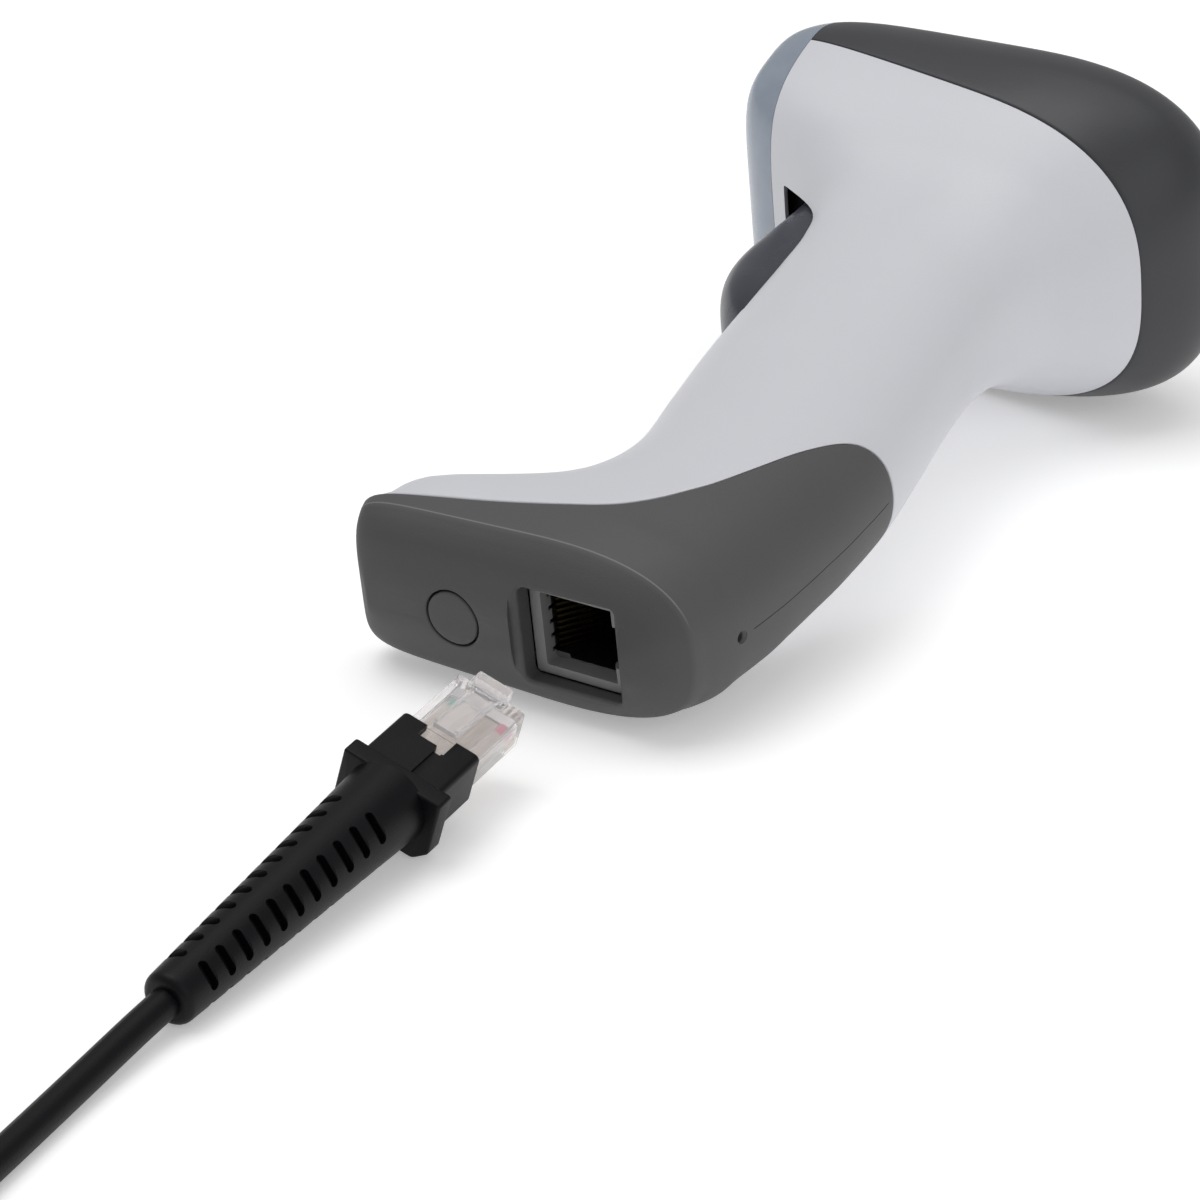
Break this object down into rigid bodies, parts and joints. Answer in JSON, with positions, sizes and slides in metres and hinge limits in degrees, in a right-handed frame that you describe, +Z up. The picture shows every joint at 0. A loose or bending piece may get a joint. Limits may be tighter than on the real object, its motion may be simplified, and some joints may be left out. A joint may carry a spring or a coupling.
{
  "type": "barcode scanner",
  "caption": "Handheld barcode scanner lying on its side, with a grey pistol grip, a rubber-booted socket end, a squeeze trigger and an unplugged modular lead.",
  "frame": {"origin": "centre of the scanner's footprint on the surface it lies on, without its lead", "axes": "+X from the handle's socket end towards the head, +Y the way it scans, +Z up from the surface"},
  "size_m": [0.3953, 0.1355, 0.0618],
  "materials": {
    "light_shell": "fine satin",
    "dark_cover": "satin",
    "blue_bezel": "gloss, translucent",
    "window": "gloss",
    "gasket_foam": "matte",
    "boot_rubber": "fine matte",
    "steel": "plain",
    "grey_jack": "plain",
    "gold_contacts": "plated",
    "green_board": "satin",
    "black_parts": "matte",
    "flat_cable": "plain",
    "trigger_blue": "gloss",
    "pale_plastic": "plain",
    "lens": "gloss",
    "led": "translucent",
    "clear_plug": "clear",
    "plug_cores": "plain",
    "black_lead": "satin",
    "usb_steel": "bright"
  },
  "bodies": {
    "scanner": {"main_housing": "light_shell", "front_housing": "light_shell", "top_cover": "dark_cover", "front_bezel": "blue_bezel", "scan_window": "window", "window_gasket": "gasket_foam", "rubber_boot": "boot_rubber", "end_plug": "boot_rubber", "end_screw": "steel", "board_screws": "steel", "engine_screws": "steel", "trigger_pin": "steel", "trigger_spring": "steel", "modular_jack": "grey_jack", "jack_contacts": "gold_contacts", "plug_contacts": "gold_contacts", "usb_contacts": "gold_contacts", "jack_board": "green_board", "main_board": "green_board", "board_parts": "black_parts", "beeper": "black_parts", "chassis": "black_parts", "switch_body": "black_parts", "engine_housing": "black_parts", "jack_harness": "flat_cable", "engine_flex": "flat_cable", "usb_tongue": "pale_plastic", "engine_lens": "lens", "engine_lights": "led", "status_light": "led", "plug_housing": "clear_plug", "plug_wires": "plug_cores", "plug_sleeve": "black_lead", "cable": "black_lead", "cable_coil": "black_lead", "cable_tail": "black_lead", "coil_tie": "black_lead", "usb_overmould": "black_lead", "usb_shell": "usb_steel"},
    "trigger_lever": {"trigger": "trigger_blue"},
    "plunger": {"switch_plunger": "pale_plastic"},
    "latch": {"plug_latch": "clear_plug"}
  },
  "joints": [
    {"name": "trigger_pivot", "type": "hinge", "parent": "scanner", "child": "trigger_lever", "pos_m": [0.04496, 0.01531, 0.02846], "axis": [-0.1106, 0, 0.9939], "range_deg": [0, 3.8], "stiffness_Nm_per_rad": 0.6, "springref_deg": -2.86},
    {"name": "plunger_slide", "type": "slide", "parent": "scanner", "child": "plunger", "axis": [0, -1, 0], "range_m": [0, 0.0006]},
    {"name": "latch_flex", "type": "hinge", "parent": "scanner", "child": "latch", "pos_m": [-0.10143, -0.01051, 0.01415], "axis": [0.0717, -0.9386, -0.3373], "range_deg": [0, 6], "stiffness_Nm_per_rad": 0.05}
  ],
  "couplings": [
    {"joint": "plunger_slide", "follows": "trigger_pivot", "m_per_rad": 0.0075}
  ]
}
